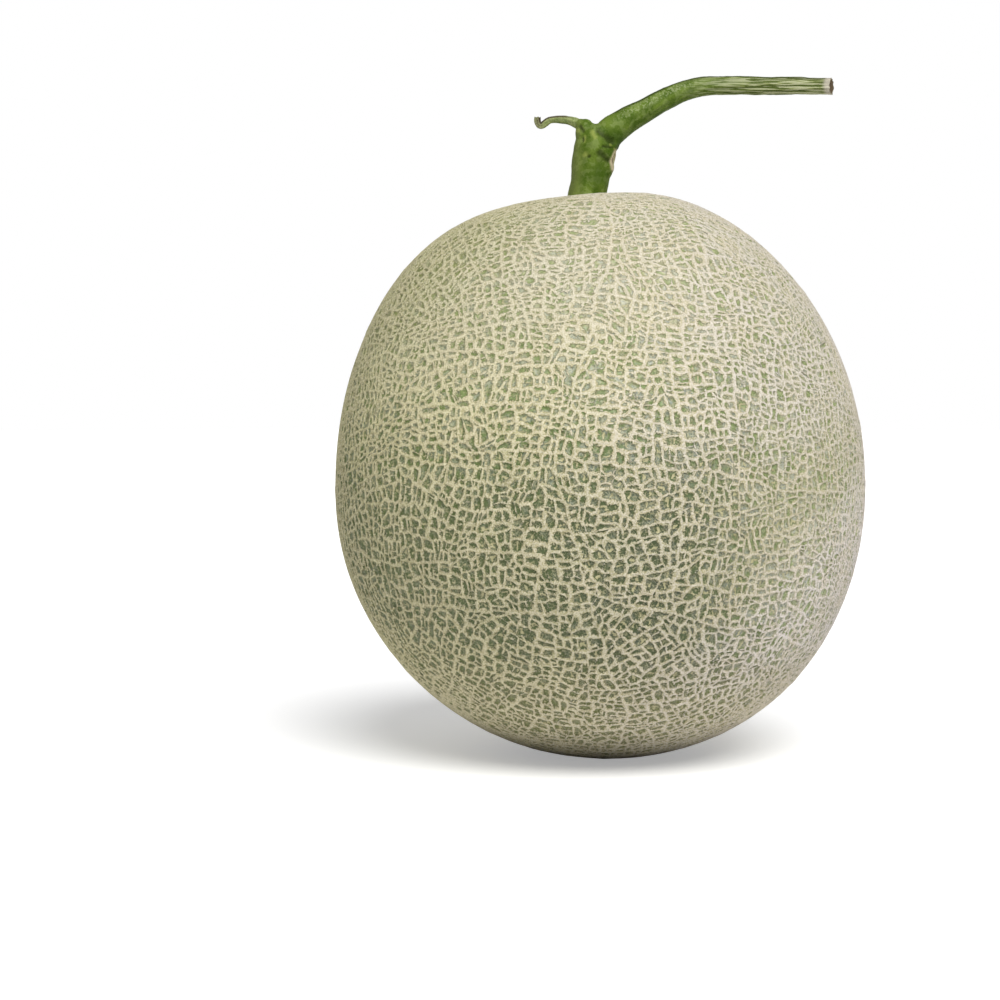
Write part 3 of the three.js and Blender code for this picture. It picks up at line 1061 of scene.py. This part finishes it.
def carve_stem(bm):
    """Ribs, folds, spots and the leaf scar, and the attributes that colour them."""
    arm = Around(station_frames(smooth_line(ARM, STEM_STEPS)))
    stalk = Around(station_frames(smooth_line(STALK, STEM_STEPS)))
    layer = {name: bm.verts.layers.float.new(name) for name in STEM_ATTRIBUTES}
    bm.normal_update()
    for vert in bm.verts:
        place = vert.co.copy()
        share, angle = arm.of(place)
        groove = rib_height(place, share, angle, stalk.of(place)[1])
        on_arm, dry = smoothstep(*ON_ARM, share), smoothstep(*DRYING, share)
        fold = mark_share(place, FOLDS) * (1 - smoothstep(*FOLDS_END, share))
        scar = scar_radius(place)
        hollow = smoothstep(1.0, 0.6, scar)
        rim = smoothstep(0.7, 1.0, scar) * smoothstep(1.5, 1.0, scar)
        top = -math.cos(angle)
        # the arm's top, darkened as painted shade
        edge = smoothstep(*SHADED_TOP, top) * smoothstep(*SHADED_TOP_START, share)
        under = smoothstep(*UNDERSIDE, -top) * smoothstep(*UNDERSIDE_END, share) * on_arm
        strip = smoothstep(*STRIP_LOW, top) * smoothstep(*STRIP_HIGH, top)
        shades = (
            amount * smoothstep(reach, 0.3 * reach, (place / MM - Vector(middle)).length)
            for middle, reach, amount in SHADES
        )
        values = {
            "groove": groove,
            "dry": dry,
            "dark": max(0.75 * fold, 0.7 * edge),
            "shaded": max(0.4 * under, *shades),
            "pale": mark_share(place, PALE_MARKS_AND_HIGHLIGHTS) * (1 - on_arm),
            "scar": max(hollow, rim),
            "slit": smoothstep(0.55, 0.2, scar),
            "bloom": smoothstep(*BLOOM, place.x) * (1 - on_arm),
            "hoar": strip * smoothstep(*HOAR_START, share) * smoothstep(*HOAR_END, share),
            "whitened": smoothstep(*WHITENED, (CUT_END - place).dot(CUT_FACING)),
        }
        for name, value in values.items():
            vert[layer[name]] = value
        move = (RIB_DEPTH + DRY_DEEPER * dry) * (0.5 * groove - 0.5)
        for far, size in (BUMP, FINE_BUMP):
            move += far * noise.noise(place / size)
        move += SCAR_RIM * rim - SCAR_DEPTH * hollow - FOLD_DEPTH * fold
        vert.co += vert.normal * move * MM
    relax(bm, bm.verts, 0.4, 1)
    return layer


def make_stem():
    bm = stem_skin()
    end = cut_off(bm)
    layer = carve_stem(bm)
    bmesh.ops.inset_region(bm, faces=[end], thickness=CUT_RIM)
    middles = bmesh.ops.poke(bm, faces=[end])["verts"]
    ring = [edge.other_vert(middle) for middle in middles for edge in middle.link_edges]
    for vert in ring + middles:
        vert[layer["cut"]] = 1
        vert[layer["whitened"]] = 0
    for middle in middles:
        middle.co -= CUT_HOLLOW * CUT_FACING
    stem = new_object("cut_stem", bm, [stem_material()])
    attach(stem, "root")
    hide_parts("stem")


SAP_GREEN, LEAF_GREEN = srgb(62, 88, 2), srgb(94, 116, 36)
GREEN_TINTS = (
    ("glints", 0.35, (134, 148, 88)),
    ("low", 0.3, (52, 76, 8)),
    ("bloom", 0.5, (132, 142, 78)),
)
DRY_HIGH, DRY_LOW = srgb(126, 134, 80), srgb(80, 90, 40)
DRY_TINTS = (
    ("pale_fibres", 0.85, (172, 174, 140)),
    ("dark_fibres", 0.85, (58, 72, 20)),
)
STEM_TINTS = (
    ("grain", 0.12, (150, 160, 90)),
    ("hoar_specks", 0.32, (182, 190, 146)),
    ("shaded", 0.75, (46, 72, 0)),
    # dark: painted shade in the folds and along the arm's top, with a few dark marks of the
    # node's own
    ("dark", 1.0, (40, 50, 12)),
    # pale: the node's own pale specks, and painted highlights
    ("pale", 0.5, (164, 172, 88)),
    ("scar", 1.0, (190, 176, 146)),
    ("slit", 1.0, (84, 66, 44)),
    ("whitened", 0.6, (202, 192, 180)),
    ("cut", 1.0, (92, 78, 58)),
)


def stem_material():
    """Green, dull skin that dries into pale and olive streaks towards the cut end."""
    material, tree, shader, place = new_material("green_stem", 0.55)
    shader.inputs["Specular IOR Level"].default_value = 0.12
    mask = {name: attribute(tree, name) for name in STEM_ATTRIBUTES}
    fibres = patches(tree, place, 0.45 * MM, 1, (0.05, 1, 1))
    specks = ramp(tree, patches(tree, place, 0.5 * MM, 1), 0.66, 0.9)
    mask["grain"] = patches(tree, place, 0.45 * MM, 3)
    mask["glints"] = ramp(tree, patches(tree, place, 1.7 * MM, 2), 0.5, 0.75)
    mask["low"] = ramp(tree, mask["groove"], 0.4, -0.6)
    mask["pale_fibres"] = ramp(tree, fibres, 0.5, 0.7)
    mask["dark_fibres"] = ramp(tree, fibres, 0.45, 0.28)
    mask["hoar_specks"] = times(tree, specks, mask["hoar"])

    green = blend(tree, patches(tree, place, 4 * MM, 3), SAP_GREEN, LEAF_GREEN)
    green = tinted(tree, green, mask, GREEN_TINTS)
    dry = tinted(tree, blend(tree, mask["low"], DRY_HIGH, DRY_LOW), mask, DRY_TINTS)
    colour = tinted(tree, blend(tree, mask["dry"], green, dry), mask, STEM_TINTS)
    finish(tree, shader, colour, mask["grain"], 0.35, 0.08 * MM)
    return material


# ---- leaf stalk stub ----

STUB = (
    (-4.6, 178.6, 1.5), (-6.6, 180.0, 1.45), (-9.0, 180.85, 1.25), (-11.6, 181.1, 1.15),
    (-14.0, 180.95, 1.0), (-15.4, 180.2, 1.1), (-16.4, 179.4, 1.0), (-17.35, 179.5, 0.95),
    (-17.8, 180.6, 1.05), (-17.8, 181.9, 0.9),
)
STUB_SIDES, STUB_STEPS, STUB_RIBS = 30, 9, 5
WITHERING, DARK_START, DARK_TOP = (0.58, 0.78), (0.15, 0.3), (0.3, 0.6)
STUB_RIB_DEPTH, WITHERED_DEEPER, STUB_BUMP = 0.06, 0.1, 0.1  # in mm
STUB_ATTRIBUTES = ("groove", "dark", "withered")


def make_stub():
    bm = bmesh.new()
    frames = station_frames(smooth_line(STUB, STUB_STEPS))
    sweep(bm, frames, STUB_SIDES)
    bmesh.ops.recalc_face_normals(bm, faces=bm.faces)
    layer = {name: bm.verts.layers.float.new(name) for name in STUB_ATTRIBUTES}
    stub_line = Around(frames)
    bm.normal_update()
    for vert in bm.verts:
        place = vert.co.copy()
        share, angle = stub_line.of(place)
        withered = smoothstep(*WITHERING, share)
        groove = math.cos(STUB_RIBS * angle + 2 * noise.noise(place / (3 * MM)))
        dark = smoothstep(*DARK_TOP, math.cos(angle)) * smoothstep(*DARK_START, share)
        vert[layer["groove"]] = groove
        vert[layer["withered"]] = withered
        vert[layer["dark"]] = dark
        move = (STUB_RIB_DEPTH + WITHERED_DEEPER * withered) * (groove - 1)
        move += STUB_BUMP * noise.noise(place / (1.2 * MM))
        vert.co += vert.normal * move * MM
    stub = new_object("withered_leaf_stalk", bm, [stub_material()])
    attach(stub, "root")
    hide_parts("leaf_stalk_stub")


FRESH_GREENS = srgb(98, 116, 48), srgb(140, 150, 88)
WITHERED_BROWNS = srgb(88, 78, 54), srgb(132, 134, 94)
STUB_GROOVE = srgb(70, 88, 30)
STUB_TINTS = (
    ("grain", 0.25, (188, 192, 150)),
    ("dark", 0.85, (62, 50, 38)),
)


def stub_material():
    """Pale green skin, dark along its upper side and brown where it has withered."""
    material, tree, shader, place = new_material("withered_stalk", 0.6)
    shader.inputs["Specular IOR Level"].default_value = 0.25
    mask = {name: attribute(tree, name) for name in STUB_ATTRIBUTES}
    mask["grain"] = patches(tree, place, 0.4 * MM, 3)
    mottle = patches(tree, place, 1.6 * MM, 3)
    low = ramp(tree, mask["groove"], 0.5, -0.5)
    green = blend(tree, mottle, *FRESH_GREENS)
    green = blend(tree, times(tree, low, 0.5), green, STUB_GROOVE)
    brown = blend(tree, mottle, *WITHERED_BROWNS)
    colour = blend(tree, times(tree, mask["withered"], 0.8), green, brown)
    colour = tinted(tree, colour, mask, STUB_TINTS)
    finish(tree, shader, colour, mask["grain"], 0.4, 0.08 * MM)
    return material


# ---- studio ----

SUN_FROM = Vector((0.3, -0.85, 1.0))
SUN_STRENGTH, SUN_WIDTH = 3.45, math.radians(40)
SKY_SEEN, SKY_STRENGTH = 1.0, 0.27
FLOOR_RADIUS = 3  # metres
FLOOR_GREY = 0.9
FLOOR_GLOW = 0.35  # seen by the camera only
WHITE = (1, 1, 1, 1)


def to_camera(tree, seen, otherwise):
    """A value for what the camera sees itself, and another for what light bounces off."""
    ray = node(tree, "LightPath").outputs["Is Camera Ray"]
    inputs = {"Value": ray, "To Min": otherwise, "To Max": seen}
    return node(tree, "MapRange", inputs).outputs["Result"]


def make_floor():
    material, tree, shader, _ = new_material("studio_floor", 0.7)
    shader.inputs["Base Color"].default_value = (FLOOR_GREY, FLOOR_GREY, FLOOR_GREY, 1)
    shader.inputs["Emission Color"].default_value = WHITE
    tree.links.new(to_camera(tree, FLOOR_GLOW, 0), shader.inputs["Emission Strength"])
    bm = bmesh.new()
    bmesh.ops.create_circle(bm, cap_ends=True, segments=64, radius=FLOOR_RADIUS)
    floor = new_object("floor", bm, [material])


def make_light():
    world = bpy.data.worlds.new("studio")
    world.use_nodes = True
    background = world.node_tree.nodes["Background"]
    background.inputs["Color"].default_value = WHITE
    strength = to_camera(world.node_tree, SKY_SEEN, SKY_STRENGTH)
    world.node_tree.links.new(strength, background.inputs["Strength"])
    bpy.context.scene.world = world
    bpy.context.scene.view_settings.view_transform = "Standard"

    data = bpy.data.lights.new("sun", "SUN")
    data.energy, data.angle = SUN_STRENGTH, SUN_WIDTH
    sun = bpy.data.objects.new("sun", data)
    sun.rotation_euler = SUN_FROM.to_track_quat("Z", "Y").to_euler()
    bpy.context.collection.objects.link(sun)


make_camera()
make_floor()
make_light()
make_rind()
make_stem()
make_stub()
